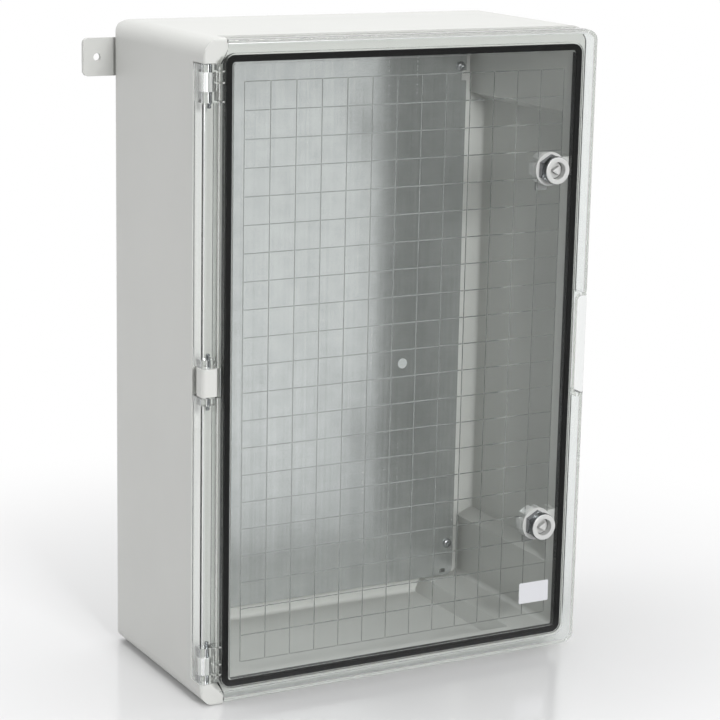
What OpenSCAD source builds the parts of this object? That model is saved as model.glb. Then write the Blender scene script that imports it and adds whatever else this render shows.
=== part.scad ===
// Plastic electrical cabinet with a clear hinged door, for hanging on a wall or standing on its base.
// +Z is up, the door faces -Y, and the origin is the middle of the base.

/* [Cabinet] */
// Width over the sides
cab_w = 400; // [360:5:440]
// Height
cab_h = 600; // [540:5:660]
// Depth from the front of the door to the rear face
cab_d = 200; // [160:5:240]
// Thickness of the moulded walls
wall = 3.5; // [2.5:0.5:5]
// Radius of the four edges that run front to back
corner_r = 16; // [13:1:22]
// Radius of the edges round the rear face
rear_r = 8; // [6:1:12]
// Thickness of the flange behind the door
flange_t = 3.5; // [2.5:0.5:5]
// Gap between the door's skirt and the flange
seam_gap = 2; // [1:0.5:3]
// Height of the hollow corner columns, on the side walls
column_h = 80; // [70:1:100]
// Reach of the corner columns along the top and the base
column_w = 61.5; // [55:0.5:75]
// Slope of the columns' ends
column_slope = 8.5; // [5:0.5:12]
// Thickness of the columns' skin
column_t = 3; // [2:0.5:3.5]

/* [Door] */
// Thickness of the clear front
door_t = 3; // [2.5:0.5:4]
// Thickness of the skirt round the door
skirt_t = 3; // [2:0.5:4]
// Depth of the door over its skirt
skirt_d = 19.5; // [17:0.5:22]
// Rounding of the door's front edges
front_r = 3; // [2:0.5:4]
// Step of the door inside the cabinet's top and base
door_gap = 1.5; // [1:0.5:2.5]
// Length of the finger grip in the free edge
grip_l = 95; // [70:1:120]
// Reach of the finger grip in from the free edge
grip_w = 10.5; // [8:0.5:12]

/* [Seal] */
// Outside of the gasket to the hinge side
seal_hinge = 22.5; // [21:0.5:26]
// Outside of the gasket to the lock side
seal_lock = 16.5; // [15.5:0.5:20]
// Outside of the gasket to the top and to the base
seal_end = 15; // [13:0.5:18]
// Width of the gasket
gasket_w = 5.5; // [4:0.5:7]
// Thickness of the gasket
gasket_t = 5.5; // [4:0.5:7]
// Radius of the gasket's outer corners
seal_r = 9; // [8.5:0.5:12]
// Thickness of the ribs that hold the gasket
rib_t = 1.6; // [1.2:0.2:2]
// Thickness of the sealing lip on the flange
lip_t = 2.4; // [1.6:0.2:3]
// Gap between the sealing lip and the gasket
lip_gap = 0.3; // [0.2:0.1:0.8]

/* [Hinges] */
// Hinge axis to the cabinet's left side
hinge_x = 8.2; // [8:0.2:9]
// Hinge axis to the front of the door
hinge_d = 8; // [7.6:0.2:9]
// Diameter of the hinge pins
pin_d = 4.2; // [3.4:0.2:5]
// Gap between a pin and the hole that turns on it
pin_run = 0.05; // [0.03:0.01:0.08]
// Reach of an end pin from the cabinet's top or base
end_pin_z = 60; // [52:1:70]
// Depth of an end pin in its corner block
end_pin_hold = 11; // [8:1:13]
// Diameter of the hinge bush
bush_d = 7.4; // [6.6:0.2:8]
// Length of the hinge bush
bush_l = 16.5; // [12:0.5:19]
// Hinge bush to the cabinet's top or base
bush_z = 29; // [26:0.5:31]
// Length of the middle pin
mid_pin_l = 51; // [45:1:60]
// Height of the middle hinge bracket
bracket_h = 25; // [20:1:30]
// Width of the middle hinge bracket
bracket_w = 16; // [15:0.2:17]
// Depth of the middle hinge bracket in front of its foot
bracket_d = 14; // [13:0.5:15]
// Width of the corner blocks
block_w = 22; // [20:0.5:23]
// Height of the corner blocks
block_h = 21; // [19:0.5:23]
// Slanting cut on the inner corner of the blocks
block_cut = 12; // [10:0.5:13]
// Gap between the door and what it swings past
swing_gap = 0.8; // [0.5:0.1:1.2]

/* [Locks] */
// Lock axis to the cabinet's right side
lock_x = 49; // [46:1:56]
// Lock axis above and below the middle
lock_z = 171; // [140:1:200]
// Diameter of the lock's face
face_d = 26; // [24:0.5:28]
// Height of the lock's face above its collar
face_h = 7; // [5:0.5:9]
// Diameter of the key recess
recess_d = 16; // [15:0.5:18]
// Width across the flats of the collar
collar_af = 24; // [23:0.5:26]
// Thickness of the collar
collar_t = 6; // [4:0.5:8]
// Diameter of the sealing washer
seal_washer_d = 31.5; // [29:0.5:34]
// Thickness of the sealing washer
seal_washer_t = 2; // [1:0.5:3]
// Diameter of the threaded shank
shank_d = 20; // [18:0.5:21]
// Diameter of the lock nut
nut_d = 31; // [28:0.5:33]
// Thickness of the lock nut
nut_t = 10; // [8:0.5:11]
// Diameter of the turning barrel
barrel_d = 11; // [10:0.5:12]
// Side of the triangular key
key_side = 9; // [8:0.5:10]
// Height of the triangular key
key_h = 5; // [4:0.5:6]
// Reach of the cam from the lock axis
cam_l = 22; // [20:0.5:24]
// Width of the cam
cam_w = 12; // [10:1:14]
// Thickness of the cam
cam_t = 2.5; // [2:0.5:3]
// Side of the square that drives the cam
square_s = 7; // [6:0.5:7]
// Height of the keepers that the cams turn behind
keeper_h = 18; // [14:1:24]

/* [Mounting plate] */
// Width of the plate
plate_w = 340; // [300:5:350]
// Height of the plate
plate_h = 560; // [500:5:566]
// Thickness of the plate
plate_t = 2; // [1.5:0.5:3]
// Radius of the plate's corners
plate_r = 7; // [4:1:12]
// Screw to the plate's side edge
screw_x = 7; // [6.5:0.5:12]
// Screw to the plate's top and bottom edges
screw_z = 34; // [25:1:45]
// Height of the posts that carry the plate
post_h = 8; // [7:0.5:14]
// Diameter of the posts
post_d = 15; // [13:0.5:18]
// Diameter of the plate screws
screw_d = 5; // [4:0.5:6]

/* [Wall lugs] */
// Length of a lug
lug_l = 53; // [49:1:60]
// Height of a lug
lug_h = 35; // [30:1:40]
// Thickness of a lug
lug_t = 4; // [3:0.5:6]
// Wall hole to the cabinet's side
lug_out = 15.6; // [13:0.2:18]
// Lug screw to the cabinet's side
lug_in = 10.4; // [10:0.2:13]
// Middle of a lug to the cabinet's top
lug_z = 34.6; // [30:0.2:45]
// Diameter of the wall hole
lug_hole = 7; // [5:0.5:9]
// Diameter of the lug screws
lug_screw_d = 6; // [5:0.5:6.5]

/* [Hidden] */
$fn = 64;

// Cut past a face, so that a hole breaks through it
eps = 1;
// Gap round a piece that is pushed into its seat and stays there
seat_gap = 0.03;
// Gap round a screw in a plain hole
screw_gap = 0.4;
// Room left in a blind hole past the end of its screw
screw_end = 1;
// Smallest radius of an inner corner
least_r = 0.5;

left = -cab_w / 2;
right = cab_w / 2;
mid_z = cab_h / 2;

// Flange and hinge rail, as depths behind the front of the door
flange_d = skirt_d + seam_gap;
flange_back = flange_d + flange_t;
gutter_r = 15.6;
rail_wall = 6.4;
rail_back = hinge_d + gutter_r + rail_wall;
rib_short = 0.5;
rib_d = gasket_t - rib_short;
lip_d = door_t + gasket_t + lip_gap;

// Corners of the gasket's outline and of the opening inside it, seen from the front
seal_lo = [left + seal_hinge, seal_end];
seal_hi = [right - seal_lock, cab_h - seal_end];
lip_in = (gasket_w - lip_t) / 2;
opening_in = lip_in + lip_t;
room_lo = inner(seal_lo, opening_in);
room_hi = outer(seal_hi, opening_in);
room_r = seal_r - opening_in;

// Openings in the rear face, through which the columns are cored
core_land = 1.5;
core_in = rear_r + core_land;

// Hinges
axis_x = left + hinge_x;
pin_r = pin_d / 2;
pin_tail = 5;
web_t = 1.5;
boss_side = 1.8;
boss_rear = 2;
boss_hi_x = hinge_x + bush_d / 2 + boss_side;
boss_back = hinge_d + bush_d / 2 + boss_rear;
barrel_rib_gap = 1.2;
barrel_rib_x = boss_hi_x + barrel_rib_gap;
bracket_in = 0.6;
bracket_left = 0.2;
bracket_side = 2.4;
bracket_r = 4;
bracket_gap = 1;
bracket_cut_x = bracket_left + bracket_w + bracket_side;
foot_w = 9;
foot_cover = 3;
foot_back = rail_back - foot_cover;
bracket_screw_d = 3.5;
bracket_screw_z = 7;
bracket_screw_reach = 9;
block_reach = block_w - hinge_x;
block_low_reach = block_reach - block_cut;
corner_reach = norm([hinge_x - front_r, hinge_d - front_r]) + front_r;
low_swing_r = max(norm([block_low_reach, hinge_d]), corner_reach) + swing_gap;
high_swing_r = norm([block_reach, hinge_d]) + swing_gap;

// Locks, as depths behind the front of the door
lock_at_x = right - lock_x;
washer_front = -seal_washer_t;
collar_front = washer_front - collar_t;
collar_chamfer = 1.4;
collar_r = collar_af / 2 / cos(30);
face_front = collar_front - face_h;
face_r = 1.6;
recess_into = 1;
recess_floor = collar_front + recess_into;
nut_back = door_t + nut_t;
flute_d = 5;
cam_gap = 0.6;
cam_run = 0.3;
cam_front = nut_back + cam_gap;
cam_back = cam_front + cam_t;
shank_back = cam_front - cam_run;
cam_hub_d = 17;
cam_tip_r = 3;
cam_screw_d = 4;
cam_screw_l = 9;
cam_screw_head_d = 10;
cam_screw_head_t = 3;
shoulder_t = 1.5;
shoulder_run = 0.1;
shoulder_gap = 0.5;
shoulder_back = recess_floor - shoulder_run;
shank_gap = 0.25;
keeper_gap = 2;
keeper_lo_x = lock_at_x + nut_d / 2 + keeper_gap;
stem_lo_x = lock_at_x + cam_l + keeper_gap;
keeper_hi_x = room_hi.x + lip_t / 2;

// Mounting plate
rear_inner = cab_d - wall;
plate_back = rear_inner - post_h;
plate_front = plate_back - plate_t;
plate_lo = [-plate_w / 2, mid_z - plate_h / 2];
plate_hi = [plate_w / 2, mid_z + plate_h / 2];
plate_clear = 1;
plate_end_lo = [max(plate_lo.x, room_lo.x + plate_clear), max(plate_lo.y, room_lo.y + plate_clear)];
plate_end_hi = [min(plate_hi.x, room_hi.x - plate_clear), min(plate_hi.y, room_hi.y - plate_clear)];
post_room = post_d / 2 + plate_clear;
screw_lo = [max(plate_lo.x + screw_x, room_lo.x + post_room), plate_end_lo.y + screw_z];
screw_hi = [min(plate_hi.x - screw_x, room_hi.x - post_room), plate_end_hi.y - screw_z];
insert_wall = 1.4;
insert_floor = 1;
insert_l = post_h - insert_floor;
screw_head_d = 2 * screw_d;
screw_head_t = 0.6 * screw_d;
slot_w = 7;
slot_h = 4;
slot_in = 5;
slot_up = 5;
notch_w = 5.5;
notch_h = 10;
notch_down = 43;

// Wall lugs
lug_r = 5;
lug_mid_x = (lug_in - lug_out) / 2;
lug_boss_d = 14;
lug_boss_l = 18;
lug_screw_l = 15;
lug_washer_t = 1;
lug_washer_d = 13;
lug_head_d = 11;
lug_head_t = 2.6;
lug_seat_land = 1;

body_grey = [0.78, 0.79, 0.78];
clear_door = [0.90, 0.94, 0.95, 0.35];
black_rubber = [0.07, 0.07, 0.07];
white_nylon = [0.92, 0.92, 0.90];
bright_steel = [0.75, 0.76, 0.78];
chrome = [0.82, 0.83, 0.85];

// y of a depth behind the front of the door
function at(d) = d - cab_d / 2;

// A corner moved in by t towards the middle of the outline
function inner(lo, t) = [lo.x + t, lo.y + t];
function outer(hi, t) = [hi.x - t, hi.y - t];

// Outline in x and z, carried from depth d0 back to depth d1
module slab(d0, d1) {
    translate([0, at(d1), 0]) rotate([90, 0, 0]) linear_extrude(d1 - d0) children();
}

// Rod along the depth at x and z, from depth d0 back to depth d1
module rod(x, z, d0, d1, d, sides = 64) {
    translate([x, at(d1), z]) rotate([90, 0, 0]) cylinder(h = d1 - d0, d = d, $fn = sides);
}

// Rectangle between two corners with rounded corners
module rounded(lo, hi, r) {
    translate([lo.x + r, lo.y]) square([hi.x - lo.x - 2 * r, hi.y - lo.y]);
    translate([lo.x, lo.y + r]) square([hi.x - lo.x, hi.y - lo.y - 2 * r]);
    for (x = [lo.x + r, hi.x - r], y = [lo.y + r, hi.y - r]) translate([x, y]) circle(r);
}

// Rectangle of half width h from y0 to y1, rounded at its two corners at y1
module eased(h, y0, y1, r) {
    translate([-h, y0]) square([2 * h, y1 - y0 - r]);
    translate([r - h, y0]) square([2 * (h - r), y1 - y0]);
    for (side = [-1, 1]) translate([side * (h - r), y1 - r]) circle(r);
}

// Moulded box of width w from z0 to z1 and from depth d0 to d1, with radius r seen from the front.
// Radius e eases the edges of its rear face, or of its front face where front is true.
module moulding(w, z0, z1, d0, d1, r, e, front = false) {
    y0 = front ? -at(d1) : at(d0);
    y1 = front ? -at(d0) : at(d1);
    turn = front ? 180 : 0;
    intersection() {
        slab(d0, d1) rounded([-w / 2, z0], [w / 2, z1], r);
        translate([0, 0, z0]) linear_extrude(z1 - z0) rotate(turn) eased(w / 2, y0, y1, e);
        translate([-w / 2, 0, (z0 + z1) / 2]) rotate([90, 0, 90]) linear_extrude(w)
            rotate(turn - 90) eased((z1 - z0) / 2, y0, y1, e);
    }
}

// Ring of thickness t that follows the gasket's outline, moved in by step
module seal_ring(step, t) {
    difference() {
        rounded(inner(seal_lo, step), outer(seal_hi, step), seal_r - step);
        rounded(inner(seal_lo, step + t), outer(seal_hi, step + t), max(seal_r - step - t, least_r));
    }
}

// Children at both ends of the cabinet, the upper one the mirror image of the lower one
module both_ends() {
    children();
    translate([0, 0, cab_h]) mirror([0, 0, 1]) children();
}

// Children as drawn for the left, and their mirror image on the right
module both_sides() {
    children();
    mirror([1, 0, 0]) children();
}

// Children at each plate screw, with its axis along y
module at_plate_screws() {
    for (x = [screw_lo.x, screw_hi.x], z = [screw_lo.y, screw_hi.y]) translate([x, 0, z]) children();
}

// Room inside the housing seen from the front, grown by step: the opening carried back between the corner
// columns, and the bays between the columns, which reach out to the side walls, the top and the base
module room(step) {
    bay_z = column_h - step;
    bay_x = column_w - step;
    rounded(inner(room_lo, -step), outer(room_hi, -step), room_r + step);
    polygon([
        [left, bay_z + column_slope], [room_lo.x, bay_z],
        [room_hi.x, bay_z], [right, bay_z + column_slope],
        [right, cab_h - bay_z - column_slope], [room_hi.x, cab_h - bay_z],
        [room_lo.x, cab_h - bay_z], [left, cab_h - bay_z - column_slope]
    ]);
    polygon([
        [left + bay_x + column_slope, 0], [left + bay_x, room_lo.y],
        [left + bay_x, room_hi.y], [left + bay_x + column_slope, cab_h],
        [right - bay_x - column_slope, cab_h], [right - bay_x, room_hi.y],
        [right - bay_x, room_lo.y], [right - bay_x - column_slope, 0]
    ]);
}

// Skin of the four corner columns, with a rib behind each lug's place
module columns() {
    difference() {
        union() {
            room(column_t);
            for (z = [lug_z, cab_h - lug_z]) translate([left, z - column_t / 2]) square([cab_w, column_t]);
        }
        room(0);
    }
}

// Openings in the rear face into the hollow columns, clear of the lugs' places
module core_openings() {
    difference() {
        rounded([left + core_in, core_in], [right - core_in, cab_h - core_in], corner_r - core_in);
        room(column_t);
        for (side = [-1, 1], z = [lug_z, cab_h - lug_z]) translate([side * (left + lug_mid_x), z])
            square([lug_l + 2 * lug_seat_land, lug_h + 2 * lug_seat_land], center = true);
    }
}

// Corner block at the base on the hinge side, which holds an end pin
module corner_block() {
    intersection() {
        moulding(cab_w, 0, cab_h, 0, flange_back, corner_r, front_r, true);
        slab(0, flange_back) polygon([
            [left, 0], [left + block_w, 0], [left + block_w, block_h - block_cut],
            [left + block_w - block_cut, block_h], [left, block_h]
        ]);
    }
}

// Space inside the housing's walls, without the column skins and the bosses for the lug screws
module hollow() {
    difference() {
        moulding(cab_w - 2 * wall, wall, cab_h - wall, flange_back, rear_inner,
                 corner_r - wall, rear_r - wall);
        slab(flange_back - eps, rear_inner + eps) columns();
        both_sides() rod(left + lug_in, cab_h - lug_z, cab_d - lug_boss_l, cab_d, lug_boss_d);
    }
}

// Hook inside the free edge of the opening, one for each lock, which the cam turns behind
module keeper() {
    slab(lip_d, nut_back) translate([keeper_lo_x, -keeper_h / 2])
        square([keeper_hi_x - keeper_lo_x, keeper_h]);
    slab(lip_d, flange_back) translate([stem_lo_x, -keeper_h / 2])
        square([keeper_hi_x - stem_lo_x, keeper_h]);
}

// Housing moulded in one piece: box with corner columns, flange, sealing lip, hinge rail, blocks and posts
module body_shell() {
    color(body_grey) {
        difference() {
            union() {
                difference() {
                    moulding(cab_w, 0, cab_h, flange_d, cab_d, corner_r, rear_r);
                    hollow();
                }
                intersection() {
                    moulding(cab_w, 0, cab_h, flange_d, cab_d, corner_r, rear_r);
                    slab(flange_d, rail_back) translate([left + wall / 2, wall])
                        square([seal_hinge + opening_in - wall / 2, cab_h - 2 * wall]);
                }
                slab(lip_d, flange_back) seal_ring(lip_in, lip_t);
                both_ends() corner_block();
                at_plate_screws() rod(0, 0, plate_back, rear_inner + wall / 2, post_d);
            }
            slab(lip_d - eps, rail_back + eps) rounded(room_lo, room_hi, room_r);
            translate([axis_x, at(hinge_d), block_h]) cylinder(h = cab_h - 2 * block_h, r = gutter_r);
            both_ends() translate([axis_x, at(hinge_d), block_h - end_pin_hold])
                cylinder(h = end_pin_hold + eps, r = pin_r + seat_gap);
            at_plate_screws() rod(0, 0, plate_back - eps, plate_back + insert_l + seat_gap,
                                  screw_d + 2 * (insert_wall + seat_gap));
            both_sides() rod(left + lug_in, cab_h - lug_z, cab_d - lug_screw_l, cab_d + eps,
                             lug_screw_d + 2 * seat_gap);
            slab(rear_inner - eps, cab_d + eps) core_openings();
            bracket_foot(seat_gap);
            bracket_screw_holes(flange_d, rail_back + eps, screw_gap);
        }
        for (side = [-1, 1]) translate([0, 0, mid_z + side * lock_z]) keeper();
    }
}

// Foot of the middle hinge bracket, in the hinge rail's pocket
module bracket_foot(gap) {
    translate([axis_x - foot_w / 2 - gap, at(hinge_d), mid_z - bracket_h / 2 - gap])
        cube([foot_w + 2 * gap, foot_back - hinge_d + gap, bracket_h + 2 * gap]);
}

// Holes for the two screws of the middle hinge bracket
module bracket_screw_holes(d0, d1, gap) {
    for (side = [-1, 1])
        rod(axis_x, mid_z + side * bracket_screw_z, d0, d1, bracket_screw_d + gap);
}

// Bracket that carries the middle pin, seated in the hinge rail and screwed from inside
module hinge_bracket_middle() {
    color(body_grey) difference() {
        union() {
            translate([left + bracket_left, at(bracket_in), mid_z - bracket_h / 2]) linear_extrude(bracket_h)
                rounded([0, 0], [bracket_w, bracket_d], bracket_r);
            bracket_foot(0);
        }
        translate([axis_x, at(hinge_d), mid_z - bracket_h / 2 - eps])
            cylinder(h = bracket_h + 2 * eps, r = pin_r + seat_gap);
        bracket_screw_holes(foot_back - bracket_screw_reach, foot_back + eps, 2 * seat_gap);
    }
}

// Two screws that hold the middle hinge bracket from inside the rail
module bracket_screws() {
    tip = foot_back - bracket_screw_reach + screw_end;
    color(bright_steel) for (side = [-1, 1]) translate([axis_x, 0, mid_z + side * bracket_screw_z]) {
        rod(0, 0, tip, rail_back, bracket_screw_d);
        rod(0, 0, rail_back, rail_back + bracket_screw_d / 2, 2 * bracket_screw_d);
    }
}

// Hinge pin between two heights
module hinge_pin(z0, z1) {
    color(bright_steel) translate([axis_x, at(hinge_d), z0]) cylinder(h = z1 - z0, r = pin_r);
}

module hinge_pin_top() {
    hinge_pin(cab_h - end_pin_z, cab_h - block_h + end_pin_hold);
}

module hinge_pin_middle() {
    hinge_pin(mid_z - mid_pin_l / 2, mid_z + mid_pin_l / 2);
}

module hinge_pin_bottom() {
    hinge_pin(block_h - end_pin_hold, end_pin_z);
}

// Nylon bush that turns with the door on the lower end pin
module hinge_bush() {
    color(white_nylon) translate([axis_x, at(hinge_d), bush_z]) difference() {
        cylinder(h = bush_l, r = bush_d / 2);
        translate([0, 0, -eps]) cylinder(h = bush_l + 2 * eps, r = pin_r + pin_run);
    }
}

module hinge_bush_bottom() {
    hinge_bush();
}

module hinge_bush_top() {
    translate([0, 0, cab_h]) mirror([0, 0, 1]) hinge_bush();
}

// Solid boss inside the door's hinge edge, between two heights
module hinge_boss(z0, z1) {
    translate([left + skirt_t / 2, at(door_t / 2), z0])
        cube([boss_hi_x - skirt_t / 2, boss_back - door_t / 2, z1 - z0]);
}

// Webs at the base that tie a hinge boss to the gasket's outer rib
module hinge_webs() {
    web_lo_x = boss_hi_x - web_t / 2;
    for (z = [bush_z, bush_z + bush_l / 2 + web_t, end_pin_z - pin_tail])
        translate([left + web_lo_x, at(door_t / 2), z - web_t])
            cube([seal_hinge - rib_t / 2 - web_lo_x, boss_back - door_t / 2, web_t]);
}

// Seat of a hinge bush, open to the rear so that the bush presses in
module bush_seat() {
    translate([axis_x, at(hinge_d), bush_z - seat_gap]) {
        cylinder(h = bush_l + 2 * seat_gap, r = bush_d / 2 + seat_gap);
        translate([-bush_d / 2 - seat_gap, 0, 0])
            cube([bush_d + 2 * seat_gap, skirt_d, bush_l + 2 * seat_gap]);
    }
}

// Room round a corner block at the base, through which the door's edge swings
module corner_room() {
    low_z = block_h + swing_gap;
    cone_z = block_h - block_cut;
    deep = skirt_d + 2 * eps;
    translate([left - eps, at(-eps), -eps]) cube([hinge_x + eps, deep, low_z + eps]);
    translate([left - eps, at(-eps), -eps]) cube([block_w + swing_gap + eps, deep, cone_z + eps]);
    translate([axis_x, at(hinge_d), -eps]) cylinder(h = cone_z + eps, r = high_swing_r);
    translate([axis_x, at(hinge_d), cone_z])
        cylinder(h = low_z - cone_z, r1 = high_swing_r, r2 = low_swing_r);
}

// Finger grip outline in x and z, grown by step
module grip_outline(step) {
    reach = grip_w + step;
    translate([right, mid_z]) rounded([-reach, -grip_l / 2 - step], [reach, grip_l / 2 + step], reach / 2);
}

// Clear door moulded as a tray: front, skirt, gasket ribs, hinge bosses and finger grip
module door() {
    door_lo = door_gap;
    door_hi = cab_h - door_gap;
    color(clear_door) difference() {
        union() {
            difference() {
                moulding(cab_w, door_lo, door_hi, 0, skirt_d, corner_r - door_gap, front_r, true);
                moulding(cab_w - 2 * skirt_t, door_lo + skirt_t, door_hi - skirt_t, door_t, skirt_d + eps,
                         corner_r - door_gap - skirt_t, front_r / 2, true);
            }
            slab(door_t / 2, door_t + rib_d) seal_ring(-rib_t, rib_t);
            slab(door_t / 2, door_t + rib_d) seal_ring(gasket_w, rib_t);
            translate([left + barrel_rib_x, at(door_t / 2), seal_end + seal_r])
                cube([rib_t, boss_back - door_t / 2, cab_h - 2 * (seal_end + seal_r)]);
            both_ends() hinge_boss(block_h, end_pin_z - pin_tail);
            both_ends() hinge_webs();
            hinge_boss(mid_z - mid_pin_l / 2 + pin_tail, mid_z + mid_pin_l / 2 - pin_tail);
            intersection() {
                slab(door_t / 2, skirt_d) grip_outline(skirt_t);
                moulding(cab_w, door_lo, door_hi, 0, skirt_d, corner_r - door_gap, front_r, true);
            }
        }
        slab(door_t, skirt_d + eps) grip_outline(0);
        for (side = [-1, 1])
            rod(lock_at_x, mid_z + side * lock_z, -eps, door_t + eps, shank_d + 2 * shank_gap);
        both_ends() corner_room();
        both_ends() bush_seat();
        translate([left - eps, at(-eps), mid_z - bracket_h / 2 - bracket_gap])
            cube([bracket_cut_x + eps, skirt_d + 2 * eps, bracket_h + 2 * bracket_gap]);
        both_ends() translate([axis_x, at(hinge_d), 0])
            cylinder(h = end_pin_z + seat_gap, r = pin_r + pin_run);
        translate([axis_x, at(hinge_d), mid_z - mid_pin_l / 2 - seat_gap])
            cylinder(h = mid_pin_l + 2 * seat_gap, r = pin_r + pin_run);
    }
}

// Foam rubber gasket in the door's groove
module door_gasket() {
    color(black_rubber) slab(door_t, door_t + gasket_t) seal_ring(seat_gap, gasket_w - 2 * seat_gap);
}

// Steel plate that carries the electrical gear
module mounting_plate() {
    color(bright_steel) difference() {
        slab(plate_front, plate_back) difference() {
            intersection() {
                rounded(plate_lo, plate_hi, plate_r);
                room(-plate_clear);
            }
            for (x = [screw_lo.x + slot_in, screw_hi.x - slot_in]) translate([x, plate_end_lo.y + slot_up])
                square([slot_w, slot_h], center = true);
            for (x = [plate_end_lo.x, plate_end_hi.x]) translate([x, plate_end_hi.y - notch_down])
                square([2 * notch_w, notch_h], center = true);
        }
        at_plate_screws() rod(0, 0, plate_front - eps, plate_back + eps, screw_d + screw_gap);
    }
}

// Brass inserts pressed into the posts
module plate_inserts() {
    color([0.80, 0.66, 0.32]) at_plate_screws() difference() {
        rod(0, 0, plate_back, plate_back + insert_l, screw_d + 2 * insert_wall);
        rod(0, 0, plate_back - eps, plate_back + insert_l + eps, screw_d + 2 * seat_gap);
    }
}

// Pan head screws that hold the plate
module plate_screws() {
    color(bright_steel) at_plate_screws() {
        rod(0, 0, plate_front, plate_back + insert_l - screw_end, screw_d);
        difference() {
            rod(0, 0, plate_front - screw_head_t, plate_front, screw_head_d);
            rod(0, 0, plate_front - screw_head_t - eps, plate_front - screw_head_t / 2, screw_d);
        }
    }
}

// Countersunk head at a lug screw, grown by gap
module lug_head(gap) {
    translate([left + lug_in, at(cab_d + lug_t), cab_h - lug_z]) rotate([90, 0, 0])
        cylinder(h = lug_head_t, d1 = lug_head_d + 2 * gap, d2 = lug_screw_d + 2 * gap);
}

// Lug on the rear face, half of it outside the cabinet's side
module wall_lug_left() {
    color(body_grey) difference() {
        slab(cab_d, cab_d + lug_t) translate([left + lug_mid_x, cab_h - lug_z])
            rounded([-lug_l / 2, -lug_h / 2], [lug_l / 2, lug_h / 2], lug_r);
        rod(left - lug_out, cab_h - lug_z, cab_d - eps, cab_d + lug_t + eps, lug_hole);
        rod(left + lug_in, cab_h - lug_z, cab_d - eps, cab_d + lug_t + eps, lug_screw_d + 2 * seat_gap);
        rod(left + lug_in, cab_h - lug_z, cab_d - eps, cab_d + lug_washer_t, lug_washer_d + 2 * seat_gap);
        lug_head(seat_gap);
    }
}

module wall_lug_right() {
    mirror([1, 0, 0]) wall_lug_left();
}

// Countersunk screws that hold the lugs from the rear, in bosses outside the sealed room
module lug_screws() {
    color(bright_steel) both_sides() {
        rod(left + lug_in, cab_h - lug_z, cab_d - lug_screw_l + screw_end, cab_d + lug_t, lug_screw_d);
        lug_head(0);
    }
}

// Rubber washers between the lugs and the rear face
module lug_washers() {
    color(black_rubber) both_sides() translate([left + lug_in, 0, cab_h - lug_z]) difference() {
        rod(0, 0, cab_d, cab_d + lug_washer_t, lug_washer_d);
        rod(0, 0, cab_d - eps, cab_d + lug_washer_t + eps, lug_screw_d + 2 * seat_gap);
    }
}

// Children at the upper lock for side 1, or at the lower lock for side -1
module at_lock(side) {
    translate([lock_at_x, 0, mid_z + side * lock_z]) children();
}

// Six-sided collar with its front corners turned off, flat to the left and right
module lock_collar() {
    translate([0, at(washer_front), 0]) rotate([90, 0, 0]) intersection() {
        rotate(30) cylinder(h = collar_t, r = collar_r, $fn = 6);
        union() {
            cylinder(h = collar_t - collar_chamfer, r = collar_r + eps);
            translate([0, 0, collar_t - collar_chamfer])
                cylinder(h = collar_chamfer, r1 = collar_r + eps, r2 = collar_r - collar_chamfer);
        }
    }
}

// Round face of the lock, with its front edge rounded
module lock_face() {
    translate([0, at(collar_front), 0]) rotate([90, 0, 0]) rotate_extrude() {
        square([face_d / 2, face_h - face_r]);
        square([face_d / 2 - face_r, face_h]);
        translate([face_d / 2 - face_r, face_h - face_r]) circle(face_r);
    }
}

// Chromed lock body: round face with the key recess, six-sided collar and threaded shank
module lock_housing() {
    color(chrome) difference() {
        union() {
            lock_face();
            lock_collar();
            rod(0, 0, collar_front - recess_into, shank_back, shank_d);
        }
        rod(0, 0, face_front - eps, recess_floor, recess_d);
        rod(0, 0, recess_floor - eps, shank_back + eps, barrel_d + 2 * pin_run);
    }
}

// Sealing washer between the collar and the door
module lock_washer() {
    color(white_nylon) difference() {
        rod(0, 0, washer_front, 0, seal_washer_d);
        rod(0, 0, washer_front - eps, eps, shank_d + 2 * shank_gap);
    }
}

// Round nut behind the door, with six flutes for a hook spanner
module lock_nut() {
    color(white_nylon) difference() {
        rod(0, 0, door_t, nut_back, nut_d);
        rod(0, 0, door_t - eps, nut_back + eps, shank_d + 2 * seat_gap);
        for (turn = [30 : 60 : 330])
            rod(nut_d / 2 * cos(turn), nut_d / 2 * sin(turn), door_t - eps, nut_back + eps, flute_d);
    }
}

// Turning barrel: triangular key, shoulder in the recess, shaft and square end
module lock_barrel() {
    color(chrome) difference() {
        union() {
            translate([0, at(shoulder_back - shoulder_t), 0]) rotate([90, 0, 0]) rotate(180)
                cylinder(h = key_h, r = key_side / sqrt(3), $fn = 3);
            rod(0, 0, shoulder_back - shoulder_t, shoulder_back, recess_d - 2 * shoulder_gap);
            rod(0, 0, shoulder_back - shoulder_t / 2, cam_front, barrel_d);
            translate([-square_s / 2, at(cam_front - eps), -square_s / 2])
                cube([square_s, cam_t + eps, square_s]);
        }
        rod(0, 0, cam_back - cam_screw_l - screw_end, cam_back + eps, cam_screw_d + 2 * seat_gap);
    }
}

// Flat cam, pointing down while the lock is open
module lock_cam() {
    hole = square_s + 2 * seat_gap;
    color(bright_steel) difference() {
        slab(cam_front, cam_back) {
            circle(cam_hub_d / 2);
            rotate(180) eased(cam_w / 2, 0, cam_l, cam_tip_r);
        }
        translate([-hole / 2, at(cam_front - eps), -hole / 2]) cube([hole, cam_t + 2 * eps, hole]);
    }
}

// Screw that holds the cam on the barrel
module lock_cam_screw() {
    color(bright_steel) {
        rod(0, 0, cam_back - cam_screw_l, cam_back, cam_screw_d);
        rod(0, 0, cam_back, cam_back + cam_screw_head_t, cam_screw_head_d);
    }
}

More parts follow.
